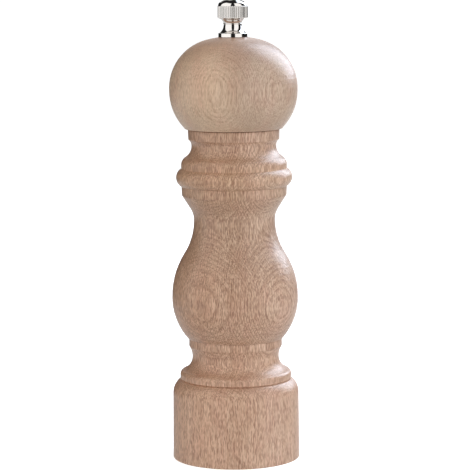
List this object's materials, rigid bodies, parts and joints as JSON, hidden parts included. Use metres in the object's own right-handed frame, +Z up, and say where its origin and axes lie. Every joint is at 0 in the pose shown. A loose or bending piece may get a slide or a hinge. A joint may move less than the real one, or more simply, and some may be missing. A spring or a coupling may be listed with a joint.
{
  "type": "pepper mill",
  "caption": "Turned wooden pepper mill with a turning head on a square shaft, a knurled metal knob that sets the grind, and a steel burr mechanism in the foot.",
  "frame": {"origin": "centre of the foot's underside, on the table", "axes": "+Z up along the turning axis, towards the knob; +X and +Y are level, and one base plate screw sits on +Y"},
  "size_m": [0.061, 0.061, 0.2206],
  "materials": {
    "beech": "satin lacquer over pale turned beech",
    "knob_metal": "polished nickel plate",
    "shaft_metal": "drawn bar",
    "burr_steel": "case-hardened steel, dark grey",
    "sheet_steel": "zinc-plated stamped sheet",
    "screw_steel": "zinc-plated",
    "spring_steel": "drawn wire",
    "nylon": "natural"
  },
  "bodies": {
    "shell": {"body": "beech", "stator": "burr_steel", "housing": "sheet_steel", "bridge": "sheet_steel", "bridge_rivets": "screw_steel", "base_plate": "sheet_steel", "base_plate_screws": "screw_steel"},
    "drive": {"bush": "nylon", "bush_ring": "spring_steel", "spring": "spring_steel"},
    "spindle": {"shaft": "shaft_metal", "spring_washer": "sheet_steel", "rotor": "burr_steel", "thrust_washer": "sheet_steel", "retaining_clip": "spring_steel"},
    "top": {"head": "beech", "drive_plate": "sheet_steel", "drive_plate_screws": "screw_steel"},
    "cap": {"knob": "knob_metal", "knob_insert": "nylon"}
  },
  "joints": [
    {"name": "head_turn", "type": "hinge", "parent": "shell", "child": "drive", "pos_m": [0, 0, 0.0408], "axis": [0, 0, 1], "continuous": true},
    {"name": "grind_adjust", "type": "slide", "parent": "drive", "child": "spindle", "axis": [0, 0, 1], "range_m": [-0.0012, 0.0004], "deforming": ["spring"]},
    {"name": "head_lift", "type": "slide", "parent": "drive", "child": "top", "axis": [0, 0, 1], "range_m": [0, 0.085]},
    {"name": "knob_turn", "type": "hinge", "parent": "top", "child": "cap", "pos_m": [0, 0, 0.2025], "axis": [0, 0, 1], "range_deg": [-180, 540]}
  ],
  "couplings": [
    {"joint": "knob_turn", "follows": "grind_adjust", "rad_per_m": -7854}
  ]
}
